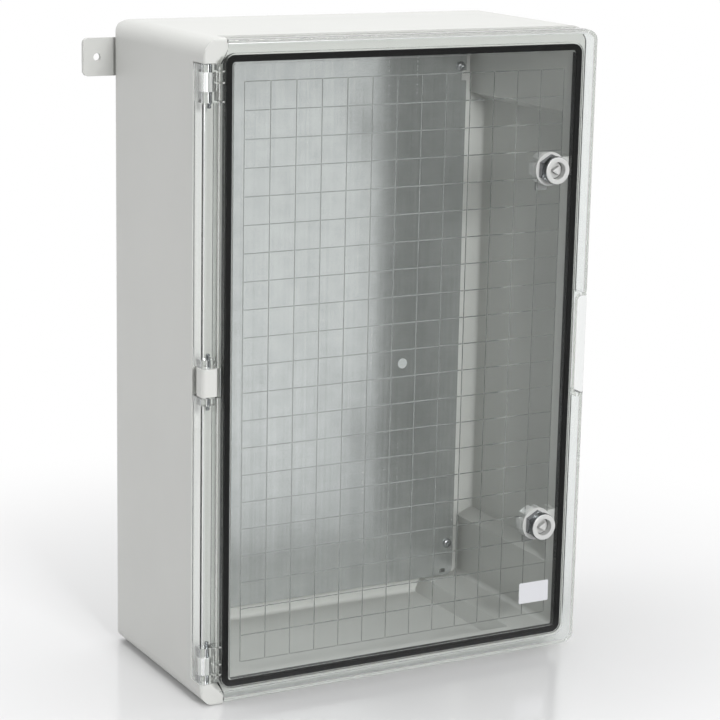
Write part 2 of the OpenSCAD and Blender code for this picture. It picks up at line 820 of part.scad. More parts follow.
body_shell();
hinge_bracket_middle();
bracket_screws();
hinge_pin_top();
hinge_pin_middle();
hinge_pin_bottom();
mounting_plate();
plate_inserts();
plate_screws();
wall_lug_left();
wall_lug_right();
lug_screws();
lug_washers();
door();
door_gasket();
hinge_bush_top();
hinge_bush_bottom();
at_lock(1) lock_housing();  // lock_upper_housing
at_lock(1) lock_washer();  // lock_upper_washer
at_lock(1) lock_nut();  // lock_upper_nut
at_lock(1) lock_barrel();  // lock_upper_barrel
at_lock(1) lock_cam();  // lock_upper_cam
at_lock(1) lock_cam_screw();  // lock_upper_cam_screw
at_lock(-1) lock_housing();  // lock_lower_housing
at_lock(-1) lock_washer();  // lock_lower_washer
at_lock(-1) lock_nut();  // lock_lower_nut
at_lock(-1) lock_barrel();  // lock_lower_barrel
at_lock(-1) lock_cam();  // lock_lower_cam
at_lock(-1) lock_cam_screw();  // lock_lower_cam_screw
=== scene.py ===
# Plastic electrical cabinet with a clear hinged door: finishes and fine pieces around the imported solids.
# Lengths are metres in the part's own frame: +Z up, the door faces -Y, the origin is the middle of the base.
import math

import bmesh
import bpy
import numpy as np
from mathutils import Matrix, Vector


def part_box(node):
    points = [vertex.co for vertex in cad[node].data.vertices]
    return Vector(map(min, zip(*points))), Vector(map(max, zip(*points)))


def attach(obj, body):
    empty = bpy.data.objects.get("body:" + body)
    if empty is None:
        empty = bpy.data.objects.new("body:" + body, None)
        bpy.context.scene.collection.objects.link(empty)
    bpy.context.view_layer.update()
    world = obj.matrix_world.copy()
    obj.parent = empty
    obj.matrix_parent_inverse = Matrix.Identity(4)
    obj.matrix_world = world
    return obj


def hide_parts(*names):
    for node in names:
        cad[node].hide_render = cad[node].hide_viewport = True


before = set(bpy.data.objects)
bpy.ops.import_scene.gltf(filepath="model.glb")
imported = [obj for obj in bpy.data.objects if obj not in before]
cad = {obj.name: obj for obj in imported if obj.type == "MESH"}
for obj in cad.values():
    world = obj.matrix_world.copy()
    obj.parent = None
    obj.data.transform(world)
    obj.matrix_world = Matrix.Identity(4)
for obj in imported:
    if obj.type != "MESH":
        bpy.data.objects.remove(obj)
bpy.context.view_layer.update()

# Housing: one injection moulding of light grey ABS, with its flange, hinge rail, corner blocks and columns.
# The mould is spark eroded, so the skin has a fine even grain and a low satin gloss.
# The middle hinge bracket and the wall lugs are small mouldings of the same plastic.
housing_grey, housing_rough = (0.575, 0.58, 0.56, 1), 0.42
grain_size, grain_height = 0.0007, 0.00003
grain_strength, grain_gloss = 0.6, 0.06
drift_scale, drift_tones = 9.0, (0.975, 1.015)
noise_range = (0.3, 0.7)


def set_inputs(tree, node, inputs):
    """Links sockets to a node's inputs, by name or number, and writes plain values into them."""
    for key, value in inputs.items():
        if isinstance(value, bpy.types.NodeSocket):
            tree.links.new(value, node.inputs[key])
        else:
            node.inputs[key].default_value = value


def add(tree, kind, inputs=None, **settings):
    """Adds a node of a kind to a tree, with its settings and inputs."""
    made = tree.nodes.new(kind)
    for key, value in settings.items():
        setattr(made, key, value)
    set_inputs(tree, made, inputs or {})
    return made


def object_place(tree):
    """Place on the piece, in Object coordinates."""
    return add(tree, "ShaderNodeTexCoord").outputs["Object"]


def noise(tree, place, scale, detail, roughness=0.5):
    """Cloudy value from 0 to 1 at a place."""
    inputs = {"Vector": place, "Scale": scale, "Detail": detail, "Roughness": roughness}
    return add(tree, "ShaderNodeTexNoise", inputs).outputs["Fac"]


def stretched(tree, value, source=(0.0, 1.0), goal=(0.0, 1.0), **settings):
    """Value carried from a source range to a goal range, and held at the ends."""
    ends = {"From Min": source[0], "From Max": source[1], "To Min": goal[0], "To Max": goal[1]}
    return add(tree, "ShaderNodeMapRange", {"Value": value, **ends}, **settings).outputs["Result"]


def worked(tree, operation, *values, **settings):
    """Result of a Math node on sockets or numbers."""
    inputs = dict(enumerate(values))
    return add(tree, "ShaderNodeMath", inputs, operation=operation, **settings).outputs["Value"]


def shaded(tree, colour, shade):
    """Colour times a shade."""
    return add(tree, "ShaderNodeVectorMath", {0: colour, 1: shade}, operation="MULTIPLY").outputs["Vector"]


def finish_group(name, inputs, outputs):
    """Shader node group with named sockets, given as (name, kind) pairs, and its two end nodes."""
    tree = bpy.data.node_groups.new(name, "ShaderNodeTree")
    for label, kind in inputs:
        tree.interface.new_socket(label, in_out="INPUT", socket_type=kind)
    for label, kind in outputs:
        tree.interface.new_socket(label, in_out="OUTPUT", socket_type=kind)
    return tree, tree.nodes.new("NodeGroupInput"), tree.nodes.new("NodeGroupOutput")


def moulded_skin():
    """Skin of a moulding: a fine grain as bump, a slow drift of colour, and a gloss led by the grain."""
    inputs = [("Color", "NodeSocketColor"), ("Roughness", "NodeSocketFloat"),
              ("Grain Scale", "NodeSocketFloat"), ("Grain Height", "NodeSocketFloat")]
    outputs = [("Color", "NodeSocketColor"), ("Roughness", "NodeSocketFloat"),
               ("Normal", "NodeSocketVector")]
    tree, start, end = finish_group("moulded_skin", inputs, outputs)
    place = object_place(tree)
    grain = noise(tree, place, start.outputs["Grain Scale"], 2.0)
    drift = noise(tree, place, drift_scale, 3.0)
    tone = shaded(tree, start.outputs["Color"], stretched(tree, drift, noise_range, drift_tones))
    gloss = stretched(tree, grain, goal=(-grain_gloss, grain_gloss))
    rough = worked(tree, "ADD", start.outputs["Roughness"], gloss)
    bump = add(tree, "ShaderNodeBump", {"Strength": grain_strength, "Distance": start.outputs["Grain Height"],
                                        "Height": grain})
    set_inputs(tree, end, {"Color": tone, "Roughness": rough, "Normal": bump.outputs["Normal"]})
    return tree


def new_material(name):
    """Empty material with a Principled shader, as (material, tree, shader)."""
    made = bpy.data.materials.new(name)
    made.use_nodes = True
    return made, made.node_tree, made.node_tree.nodes["Principled BSDF"]


def dressed(name, group, values, metallic=0.0):
    """Material whose Principled shader takes a group's outputs by name, with a plain Metallic."""
    made, tree, shader = new_material(name)
    finish = add(tree, "ShaderNodeGroup", values, node_tree=group)
    set_inputs(tree, shader, {"Base Color" if outlet.name == "Color" else outlet.name: outlet
                              for outlet in finish.outputs})
    set_inputs(tree, shader, {"Metallic": metallic})
    return made


def dress(material, *names):
    """Gives CAD nodes a material in all their slots."""
    for name in names:
        for place in cad[name].material_slots:
            place.material = material


skin_group = moulded_skin()
grey_abs = dressed("grey_abs", skin_group, {"Color": housing_grey, "Roughness": housing_rough,
                                            "Grain Scale": 1 / grain_size, "Grain Height": grain_height})
dress(grey_abs, "body_shell", "hinge_bracket_middle", "wall_lug_left", "wall_lug_right")

# Mounting plate: galvanised sheet steel, rolled, cut and punched, and screwed to four posts of the housing.
# The zinc has a faint spangle, and the rolls leave fine streaks up the sheet and fainter ones across it.
zinc_dark = (0.56, 0.576, 0.575, 1)
zinc_light = (0.71, 0.726, 0.724, 1)
zinc_metal, zinc_rough = 0.86, (0.19, 0.28)
zinc_range = (0.32, 0.62)
rolled_shine, rolled_turn = 0.8, 0.25
streaks_up = (300.0, 300.0, 2.5)
streaks_across = (2.5, 2.5, 420.0)
broad_bands = (42.0, 42.0, 0.9)
cloud_scale, cloud_rough, spangle_scale = 11.0, 0.6, 60.0
across_share, band_share, streak_share, spangle_share = 0.25, 0.6, 0.5, 0.12


def mixed(tree, share, first, second, data_type="FLOAT"):
    """Two numbers or colours blended by the share of the second."""
    inputs = {"Factor": share, "A": first, "B": second}
    return add(tree, "ShaderNodeMix", inputs, data_type=data_type).outputs["Result"]


galvanised, tree, shader = new_material("galvanised")
place = object_place(tree)
drawn = [add(tree, "ShaderNodeMapping", {"Vector": place, "Scale": scale}).outputs["Vector"]
         for scale in (streaks_up, streaks_across, broad_bands)]
up_lines, cross_lines, bands = [noise(tree, pulled, 1.0, 3.0) for pulled in drawn]
streaks = mixed(tree, across_share, up_lines, cross_lines)
cloud = noise(tree, place, cloud_scale, 4.0, cloud_rough)
broad = mixed(tree, band_share, cloud, bands)
mottle = mixed(tree, streak_share, broad, streaks)
spangle = add(tree, "ShaderNodeTexVoronoi", {"Vector": place, "Scale": spangle_scale})
cells = mixed(tree, spangle_share, mottle, spangle.outputs["Distance"])
rolled_way = add(tree, "ShaderNodeTangent", direction_type="RADIAL", axis="Z")
set_inputs(tree, shader, {
    "Base Color": mixed(tree, stretched(tree, cells, zinc_range), zinc_dark, zinc_light, "RGBA"),
    "Roughness": stretched(tree, streaks, noise_range, zinc_rough),
    "Metallic": zinc_metal,
    "Anisotropic": rolled_shine,
    "Anisotropic Rotation": rolled_turn,
    "Tangent": rolled_way.outputs["Tangent"]})
dress(galvanised, "mounting_plate")

# Plate screws: four pan head steel screws with a cross recess, bright zinc plated, in brass inserts.
# The heads sit on the plate near its corners. The screws of the hinge bracket have the same finish.
screw_tone, screw_rough = (0.42, 0.43, 0.44, 1), 0.34
brass_tone, brass_rough = (0.72, 0.55, 0.25, 1), 0.3
mark_scale, mark_tones = 260.0, (0.92, 1.03)
fine_scale, fine_gloss = 1500.0, (-0.05, 0.07)
screw_head_r, screw_head_h = 0.005, 0.003
screw_r, tip_ease = 0.0025, 0.0004
screw_recess = (0.0007, 0.0027, 0.0017)
recess_edge, recess_rise = 0.00012, 0.45
round_angles = np.linspace(0, 2 * np.pi, 96, endpoint=False)
merge_gap, crease = 1e-7, math.radians(38)


def turned_metal():
    """Machined metal: handling marks as a soft change of shade, and a fine even change of the gloss."""
    inputs = [("Color", "NodeSocketColor"), ("Roughness", "NodeSocketFloat")]
    outputs = [("Color", "NodeSocketColor"), ("Roughness", "NodeSocketFloat")]
    tree, start, end = finish_group("turned_metal", inputs, outputs)
    place = object_place(tree)
    marks = noise(tree, place, mark_scale, 4.0)
    tone = shaded(tree, start.outputs["Color"], stretched(tree, marks, noise_range, mark_tones))
    gloss = stretched(tree, noise(tree, place, fine_scale, 2.0), goal=fine_gloss)
    rough = worked(tree, "ADD", start.outputs["Roughness"], gloss, use_clamp=True)
    set_inputs(tree, end, {"Color": tone, "Roughness": rough})
    return tree


def grid_faces(rows, cols, loop_rows):
    """Quads between neighbours in a grid of points whose columns close; a looped grid closes its rows too."""
    row, col = np.meshgrid(np.arange(rows if loop_rows else rows - 1), np.arange(cols), indexing="ij")
    after, beside = (row + 1) % rows, (col + 1) % cols
    return np.stack([row * cols + col, after * cols + col, after * cols + beside, row * cols + beside],
                    axis=-1).reshape(-1, 4)


def new_piece(name, surfaces, material, body, slot, *nodes):
    """Mesh of closed skins, each (grid of points, rows close), that rides on a body in place of CAD nodes."""
    points = np.concatenate([grid.reshape(-1, 3) for grid, _ in surfaces])
    counts = np.cumsum([0] + [grid.shape[0] * grid.shape[1] for grid, _ in surfaces])
    faces = np.concatenate([grid_faces(*grid.shape[:2], loop) + start
                            for (grid, loop), start in zip(surfaces, counts)])
    mesh = bpy.data.meshes.new(name)
    mesh.from_pydata(points.tolist(), [], faces.tolist())
    work = bmesh.new()
    work.from_mesh(mesh)
    bmesh.ops.remove_doubles(work, verts=work.verts, dist=merge_gap)
    bmesh.ops.recalc_face_normals(work, faces=work.faces)
    work.to_mesh(mesh)
    work.free()
    mesh.shade_smooth()
    mesh.set_sharp_from_angle(angle=crease)
    mesh.materials.append(material)
    made = bpy.data.objects.new(name, mesh)
    bpy.context.scene.collection.objects.link(made)
    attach(made, body)
    if nodes:
        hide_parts(*nodes)


def turned(rows, centre, axis, angles=round_angles):
    """Skin round an axis: rows of (radius, distance along it), each a number or one for every angle."""
    radius = np.stack([np.broadcast_to(r, angles.shape) for r, _ in rows])
    along = np.stack([np.broadcast_to(s, angles.shape) for _, s in rows])
    side, rise = radius * np.cos(angles), radius * np.sin(angles)
    parts = (side, along, rise) if axis == "y" else (side, rise, along)
    return np.array(centre) + np.stack(parts, axis=-1)


def rim(radius, near, far, ease, steps=4, inward=1):
    """Rows of a rim's near and far edges, rounded by quarter circles; a bore's rim has inward -1."""
    bend = np.linspace(0, np.pi / 2, steps + 1)
    way = np.sign(far - near)
    pull, rise = ease * (1 - np.sin(bend)), ease * (1 - np.cos(bend))
    first = [(radius - inward * p, near + way * q) for p, q in zip(pull, rise)]
    last = [(radius - inward * p, far - way * q) for p, q in zip(pull, rise)]
    return first, last[::-1]


def head_radii(head_r):
    """Radii of the rows of a screw's head, closer together towards its rim."""
    return head_r * np.linspace(0, 1, 30) ** 0.8


def cross_recess(radius, recess):
    """Depth at a radius of a cross recess (half width, reach, depth): two slots with short sloping walls."""
    half, reach, depth = recess
    u, v = np.abs(radius * np.cos(round_angles)), np.abs(radius * np.sin(round_angles))

    def within(distance, limit):
        return np.clip((limit + recess_edge - distance) / (2 * recess_edge), 0, 1)
    slots = np.maximum(within(u, half) * within(v, reach), within(v, half) * within(u, reach))
    return slots * depth * (1 - recess_rise * radius / reach)


def pan_head(head_r, head_h, shank_r, shank_l, recess, facing):
    """Rows of a pan head screw from the middle of its recess to its tip: the head is a flattened dome."""
    crown = [(r, -facing * (head_h * (1 - (r / head_r) ** 4) ** 0.5 - cross_recess(r, recess)))
             for r in head_radii(head_r)]
    tip = facing * shank_l
    return crown + [(shank_r, 0.0)] + rim(shank_r, 0.0, tip, tip_ease)[1] + [(0.0, tip)]


turned_group = turned_metal()
bright_zinc = dressed("bright_zinc", turned_group, {"Color": screw_tone, "Roughness": screw_rough}, 1.0)
brass = dressed("brass", turned_group, {"Color": brass_tone, "Roughness": brass_rough}, 1.0)
low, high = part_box("plate_screws")
seat = low[1] + screw_head_h
screw_places = [(x, seat, z) for x in (low[0] + screw_head_r, high[0] - screw_head_r)
                for z in (low[2] + screw_head_r, high[2] - screw_head_r)]
screw_rows = pan_head(screw_head_r, screw_head_h, screw_r, high[1] - seat, screw_recess, 1)
new_piece("plate_screw_set", [(turned(screw_rows, spot, "y"), False) for spot in screw_places], bright_zinc,
          "cabinet", "bright_steel", "plate_screws")
dress(bright_zinc, "bracket_screws")
dress(brass, "plate_inserts")

# Wall lugs: two flat ABS plates on the rear face, each held by a countersunk screw over a rubber ring.
# The outer hole of each takes the wall screw.
lug_head_r, lug_head_t, lug_head_land = 0.0055, 0.0026, 0.0003
lug_screw_r = 0.003
lug_recess = (0.0008, 0.0032, 0.0019)
low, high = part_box("lug_screws")
lug_tip = low[1] - high[1]
sunk_rows = [(r, -cross_recess(r, lug_recess)) for r in head_radii(lug_head_r)]
sunk_rows += [(lug_head_r, -lug_head_land), (lug_screw_r, -lug_head_t)]
sunk_rows += [(lug_screw_r, lug_tip), (0.0, lug_tip)]
lug_places = [(x, high[1], high[2] - lug_head_r) for x in (low[0] + lug_head_r, high[0] - lug_head_r)]
new_piece("lug_screw_set", [(turned(sunk_rows, spot, "y"), False) for spot in lug_places], bright_zinc,
          "cabinet", "bright_steel", "lug_screws")

# Door: one moulding of clear polycarbonate, with a skirt, a hinge barrel and the channel for the seal.
# Light that lamps send through it isn't bent, so that the inside is lit evenly.
clear_tint = (0.965, 0.98, 0.975, 1)
film_tint = (0.99, 0.995, 0.992, 1)
clear_index = 1.58


def layered(tree, share, first, second):
    """Shader that gives way to a second one by a share."""
    return add(tree, "ShaderNodeMixShader", {"Fac": share, 1: first, 2: second}).outputs["Shader"]


def clear_plastic(name, tint, roughness):
    """Clear plastic: bends the view, and is a plain tinted film to lamps, soft bounces and blurred gloss."""
    made, tree, shader = new_material(name)
    set_inputs(tree, shader, {"Base Color": tint, "Roughness": roughness, "IOR": clear_index,
                              "Transmission Weight": 1.0})
    ray = add(tree, "ShaderNodeLightPath").outputs
    unsharp = worked(tree, "SUBTRACT", 1.0, ray["Is Singular Ray"])
    blurred = worked(tree, "MULTIPLY", ray["Is Glossy Ray"], unsharp)
    soft = worked(tree, "MAXIMUM", ray["Is Diffuse Ray"], blurred)
    plain = worked(tree, "MAXIMUM", ray["Is Shadow Ray"], soft)
    film = add(tree, "ShaderNodeBsdfTransparent", {"Color": film_tint})
    both = layered(tree, plain, shader.outputs["BSDF"], film.outputs["BSDF"])
    set_inputs(tree, tree.nodes["Material Output"], {"Surface": both})
    return made


dress(clear_plastic("clear_pc", clear_tint, 0.0), "door")

# Door grid: fine raised lines moulded on the inner face of the door, 25 mm apart, for setting out cut-outs.
# The uprights run through, and the cross lines stop short of them. Both are given dark tints, which is
# painted shade.
door_front, door_t, line_lift = -0.1, 0.003, 0.00003
inner_face = door_front + door_t + line_lift
grid_pitch = 0.025
grid_low = (-0.1605, 0.0375)
uprights, levels = 14, 22
line_half, line_gap = 0.00048, 0.0009
upright_rise, level_rise = 0.0003, 0.00009
# Painted shade: the clear lines take dark tints that stand for the darkening which the real clear ridges show
# by bending the view.
upright_shade_tint, upright_rough = (0.27, 0.28, 0.275, 1), 0.25
level_shade_tint, level_rough = (0.37, 0.38, 0.375, 1), 0.12


def half_round_bars(starts, ends, across, rise):
    """Closed half round bars on the inner face, from starts to ends: a half ellipse, pointed at both ends."""
    bend = np.linspace(0, np.pi, 7)
    section = np.outer(np.cos(bend) * line_half, across)
    section[:, 1] = np.sin(bend) * rise
    middle = np.zeros_like(section)
    middle[:, 1] = rise / 2
    return [(np.stack([start + middle, start + section, end + section, end + middle]), False)
            for start, end in zip(starts, ends)]


line_x = grid_low[0] + grid_pitch * np.arange(uprights)
line_z = grid_low[1] + grid_pitch * np.arange(levels)
low_ends = np.stack(np.broadcast_arrays(line_x, inner_face, line_z[0]), axis=-1)
high_ends = low_ends + [0, 0, line_z[-1] - line_z[0]]
new_piece("door_grid_uprights", half_round_bars(low_ends, high_ends, (1, 0, 0), upright_rise),
          clear_plastic("upright_pc_painted_shade", upright_shade_tint, upright_rough), "door", "clear_polycarbonate")
left_ends = np.stack(np.broadcast_arrays(line_x[:-1] + line_gap, inner_face, line_z[:, None]), axis=-1)
left_ends = left_ends.reshape(-1, 3)
right_ends = left_ends + [grid_pitch - 2 * line_gap, 0, 0]
new_piece("door_grid_levels", half_round_bars(left_ends, right_ends, (0, 0, 1), level_rise),
          clear_plastic("level_pc_painted_shade", level_shade_tint, level_rough), "door", "clear_polycarbonate")

# Gate mark: the round scar at the middle of the door where the plastic was let into the mould.
# It is part of the moulding, a frosted disc with a small pip where the sprue was cut off.
gate_spot = (0.0011, inner_face, 0.2998)
gate_r, gate_flat_r, gate_rise, gate_edge = 0.0047, 0.0036, 0.0005, 0.0002
pip_r, pip_foot_r, pip_rise, pip_edge = 0.0012, 0.0018, 0.0009, 0.0008
gate_tint, gate_rough = (0.93, 0.95, 0.945, 1), 0.55
gate_rows = [(0.0, pip_rise), (pip_r, pip_edge), (pip_foot_r, gate_rise), (gate_flat_r, gate_rise),
             (gate_r, gate_edge), (gate_r, 0.0), (0.0, 0.0)]
new_piece("door_gate_mark", [(turned(gate_rows, gate_spot, "y"), False)],
          clear_plastic("frosted_pc", gate_tint, gate_rough), "door", "clear_polycarbonate")

# Label: a small blank sticker of white film with rounded corners.
# It is stuck on the front of the door, below the lower lock.
label_low, label_high = (0.1349, 0.0495), (0.1678, 0.0702)
label_r, label_t, label_ease = 0.0014, 0.00018, 0.3
label_tone, label_rough = (0.60, 0.605, 0.63, 1), 0.35
label_grain, label_grain_height = 2600.0, 0.000006


def rounded_path(low, high, radius, steps=9):
    """Points round a rectangle with quarter circle corners, and the outward directions there."""
    turn = np.linspace(0, np.pi / 2, steps)
    bend = np.concatenate([turn + k * np.pi / 2 for k in range(4)])
    away = np.stack([np.cos(bend), np.sin(bend)], axis=-1)
    left, right, foot, top = low[0] + radius, high[0] - radius, low[1] + radius, high[1] - radius
    corners = np.repeat([(right, top), (left, top), (left, foot), (right, foot)], steps, axis=0)
    return corners + radius * away, away


def carried(path, away, section):
    """Skin of a section, rows of (outward, depth), carried round a path in the plane of the door."""
    out, depth = np.split(np.array(section)[..., None], 2, axis=1)
    flat = path + out * away
    return np.stack([flat[..., 0], np.broadcast_to(depth[..., 0], flat.shape[:2]), flat[..., 1]], axis=-1)


edge, away = rounded_path(label_low, label_high, label_r)
label_face = door_front - label_t
label_skin = carried(edge, away, [(0.0, door_front), (0.0, label_face + label_ease * label_t),
                                  (-label_ease * label_t, label_face)])
hub = (edge.min(axis=0) + edge.max(axis=0)) / 2
hubs = [np.broadcast_to((hub[0], y, hub[1]), (1, len(edge), 3)) for y in (door_front, label_face)]
label_white = dressed("label_white", skin_group, {"Color": label_tone, "Roughness": label_rough,
                                                  "Grain Scale": label_grain,
                                                  "Grain Height": label_grain_height})
new_piece("blank_label", [(np.concatenate([hubs[0], label_skin, hubs[1]]), False)], label_white,
          "door", "white_nylon")

# Seal: a black foam rubber cord in the door's channel, joined into one ring.
# It is flat against the door and crowned where the housing's lip presses into it.
seal_r, seal_w, seal_ease = 0.009, 0.00575, 0.0004
crown_h, bond = 0.0006, 0.00012
foam_dark, foam_light = (0.003, 0.003, 0.003, 1), (0.009, 0.009, 0.009, 1)
foam_rough, foam_specular = 0.75, 0.1
pore_scale, pore_depth, pore_strength = 1600.0, 0.0001, 0.4
low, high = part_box("door_gasket")
path, away = rounded_path((low[0] - bond, low[2] - bond), (high[0] + bond, high[2] + bond), seal_r, steps=17)
crown = np.linspace(0, np.pi, 13)
crown_rows = np.stack([seal_w / 2 * (np.cos(crown) - 1), high[1] + crown_h * (np.sin(crown) - 1)], axis=-1)
foot_rows = [(-seal_w, low[1] + seal_ease), (seal_ease - seal_w, low[1]), (-seal_ease, low[1]),
             (0.0, low[1] + seal_ease)]
foam, tree, shader = new_material("foam_rubber")
pores = add(tree, "ShaderNodeTexVoronoi", {"Vector": object_place(tree), "Scale": pore_scale})
bump = add(tree, "ShaderNodeBump", {"Strength": pore_strength, "Distance": pore_depth,
                                    "Height": pores.outputs["Distance"]})
set_inputs(tree, shader, {
    "Base Color": mixed(tree, pores.outputs["Distance"], foam_dark, foam_light, "RGBA"),
    "Roughness": foam_rough,
    "Specular IOR Level": foam_specular,
    "Normal": bump.outputs["Normal"]})
new_piece("door_seal", [(carried(path, away, np.concatenate([crown_rows, foot_rows])), True)], foam,
          "door", "black_rubber", "door_gasket")
dress(foam, "lug_washers")

# Hinge pins: bright steel pins with rounded ends, on one line through the corner blocks and middle bracket.
# White nylon bushes in the door's barrel turn on the end pins.
pin_tone, pin_rough = (0.27, 0.28, 0.29, 1), 0.14
pin_ease = 0.0011
groove_in, groove_half, groove_r = 0.0026, 0.0005, 0.0015
nylon_tone, nylon_rough = (0.54, 0.545, 0.535, 1), 0.35
nylon_grain, nylon_grain_height = 900.0, 0.00001
bush_ease, bush_bore, bush_bore_ease = 0.0004, 0.00215, 0.0002
hinge_steel = dressed("hinge_steel", turned_group, {"Color": pin_tone, "Roughness": pin_rough}, 1.0)
white_nylon = dressed("white_nylon", skin_group, {"Color": nylon_tone, "Roughness": nylon_rough,
                                                  "Grain Scale": nylon_grain,
                                                  "Grain Height": nylon_grain_height})
for spot in ("top", "middle", "bottom"):
    low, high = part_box("hinge_pin_" + spot)
    axis = ((low[0] + high[0]) / 2, (low[1] + high[1]) / 2, 0.0)
    radius = (high[0] - low[0]) / 2
    low_end, high_end = rim(radius, low[2], high[2], pin_ease, steps=6)
    grooves = {"top": [low[2] + groove_in], "middle": [low[2] + groove_in, high[2] - groove_in],
               "bottom": [high[2] - groove_in]}[spot]
    necks = [row for z in grooves for row in ((radius, z - groove_half), (groove_r, z - groove_half),
                                              (groove_r, z + groove_half), (radius, z + groove_half))]
    rows = [(0.0, low[2])] + low_end + necks + high_end + [(0.0, high[2])]
    new_piece("pin_" + spot, [(turned(rows, axis, "z"), False)], hinge_steel,
              "cabinet", "bright_steel", "hinge_pin_" + spot)
for spot in ("top", "bottom"):
    low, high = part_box("hinge_bush_" + spot)
    axis = ((low[0] + high[0]) / 2, (low[1] + high[1]) / 2, 0.0)
    outer = rim((high[0] - low[0]) / 2, low[2], high[2], bush_ease)
    bore = rim(bush_bore, high[2], low[2], bush_bore_ease, inward=-1)
    rows = [row for half in outer + bore for row in half]
    new_piece("bush_" + spot, [(turned(rows, axis, "z"), True)], white_nylon,
              "door", "white_nylon", "hinge_bush_" + spot)

# Locks: two quarter-turn locks with a triangular key, alike, near the free edge of the door.
# A chromed body with a satin face and a six sided collar sits on the door over a nylon washer.
# A round nut clamps it from behind, and a steel cam is screwed to the end of the barrel.
face_r, face_ease, corner_ease = 0.013, 0.0016, 0.0003
recess_r, recess_ease = 0.008, 0.0004
flat_r, collar_chamfer, collar_land = 0.012, 0.0014, 0.0002
collar_r = flat_r / math.cos(math.pi / 6)
shank_r, bore_r = 0.010, 0.00555
face_at, collar_at, washer_at = -0.015, -0.008, -0.002
floor_at, shank_end = -0.007, 0.0133
washer_r, washer_bore, washer_ease = 0.01575, 0.01025, 0.0005
nut_r, nut_near, nut_far, nut_ease = 0.0155, 0.003, 0.013, 0.0007
nut_bore, nut_bore_ease = 0.01003, 0.0004
flutes, flute_r = 6, 0.0025
key_side, key_at, key_ease = 0.009, -0.0136, 0.0004
shoulder_r, shoulder_at, shoulder_ease = 0.0075, -0.0086, 0.0002
barrel_r, barrel_lift = 0.0055, 0.0001
cam_near, cam_far, cam_ease = 0.0136, 0.0161, 0.0004
cam_hub_r, cam_half, cam_reach, cam_least_lean = 0.0085, 0.006, 0.022, 0.05
square_half, square_gap = 0.0035, 0.00003
cam_head_r, cam_head_h, cam_screw_r, cam_screw_l = 0.005, 0.003, 0.002, 0.0085
cam_recess = (0.0006, 0.0025, 0.0016)
chrome_tone, chrome_rough = (0.22, 0.225, 0.235, 1), 0.08
satin_tone, satin_rough, satin_metal = (0.53, 0.535, 0.525, 1), 0.4, 0.2
satin_ring = (face_r - 0.0003, face_r - 0.0007)
satin_depth = (door_front + collar_at - 0.0001, door_front + collar_at - 0.0002)
cam_tone, cam_rough, cam_metal = (0.30, 0.305, 0.30, 1), 0.5, 0.6
lock_angles = np.linspace(0, 2 * np.pi, 192, endpoint=False)


def polygon_rim(sides, flat_radius):
    """Distance to the edge of a regular polygon at each angle, from the radius of its flats."""
    step = 2 * math.pi / sides
    return flat_radius / np.cos((lock_angles + step / 2) % step - step / 2)


def fluted_rim(radius, count, groove_radius):
    """Distance to a round edge with scallops: near a scallop it is the near side of the groove's circle."""
    step = 2 * math.pi / count
    off = lock_angles % step - step / 2
    chord = groove_radius ** 2 - (radius * np.sin(off)) ** 2
    return np.where(chord > 0, radius * np.cos(off) - np.sqrt(np.maximum(chord, 0)), radius)


def cam_rim():
    """Distance to the edge of the cam: a round hub, or an arm pointing down where that reaches further."""
    down, aside = np.sin(lock_angles + math.pi), np.abs(np.cos(lock_angles))
    in_arm = down > cam_least_lean
    arm = np.minimum(cam_half / np.maximum(aside, 1e-6), cam_reach / np.where(in_arm, down, cam_least_lean))
    return np.where(in_arm, np.maximum(arm, cam_hub_r), cam_hub_r)


hexagon = polygon_rim(6, flat_r)
housing_rows = [(bore_r, floor_at), (recess_r - corner_ease, floor_at), (recess_r, floor_at - corner_ease)]
housing_rows += rim(recess_r, collar_at, face_at, recess_ease, inward=-1)[1]
housing_rows += rim(face_r, face_at, collar_at, face_ease, steps=8)[0]
housing_rows += [(face_r, collar_at - corner_ease), (face_r - corner_ease, collar_at)]
housing_rows += [(np.minimum(hexagon, flat_r + collar_land + (collar_r - flat_r) * k),
                  collar_at + collar_chamfer * k) for k in np.linspace(0, 1, 6)]
housing_rows += [(hexagon, washer_at), (shank_r, washer_at), (shank_r, shank_end), (bore_r, shank_end)]
washer_rows = sum(rim(washer_r, washer_at, 0.0, washer_ease), [])
washer_rows += [(washer_bore, 0.0), (washer_bore, washer_at)]
nut_rows = sum(rim(fluted_rim(nut_r, flutes, flute_r), nut_near, nut_far, nut_ease), [])
nut_rows += sum(rim(nut_bore, nut_far, nut_near, nut_bore_ease, inward=-1), [])
triangle = np.minimum(polygon_rim(3, key_side / math.sqrt(12)), key_side / math.sqrt(3) - key_ease)
square = polygon_rim(4, square_half)
barrel_rows = [(0.0, key_at)] + rim(triangle, key_at, shoulder_at, key_ease)[0]
barrel_rows += [(triangle, shoulder_at - key_ease), (triangle, shoulder_at)]
barrel_rows += sum(rim(shoulder_r, shoulder_at, floor_at - barrel_lift, shoulder_ease), [])
barrel_rows += [(barrel_r, floor_at - barrel_lift), (barrel_r, cam_near), (square, cam_near),
                (square, cam_far), (0.0, cam_far)]
cam_rows = sum(rim(cam_rim(), cam_near, cam_far, cam_ease), [])
cam_rows += [(square + square_gap, cam_far), (square + square_gap, cam_near)]
cam_screw_rows = pan_head(cam_head_r, cam_head_h, cam_screw_r, cam_screw_l, cam_recess, -1)

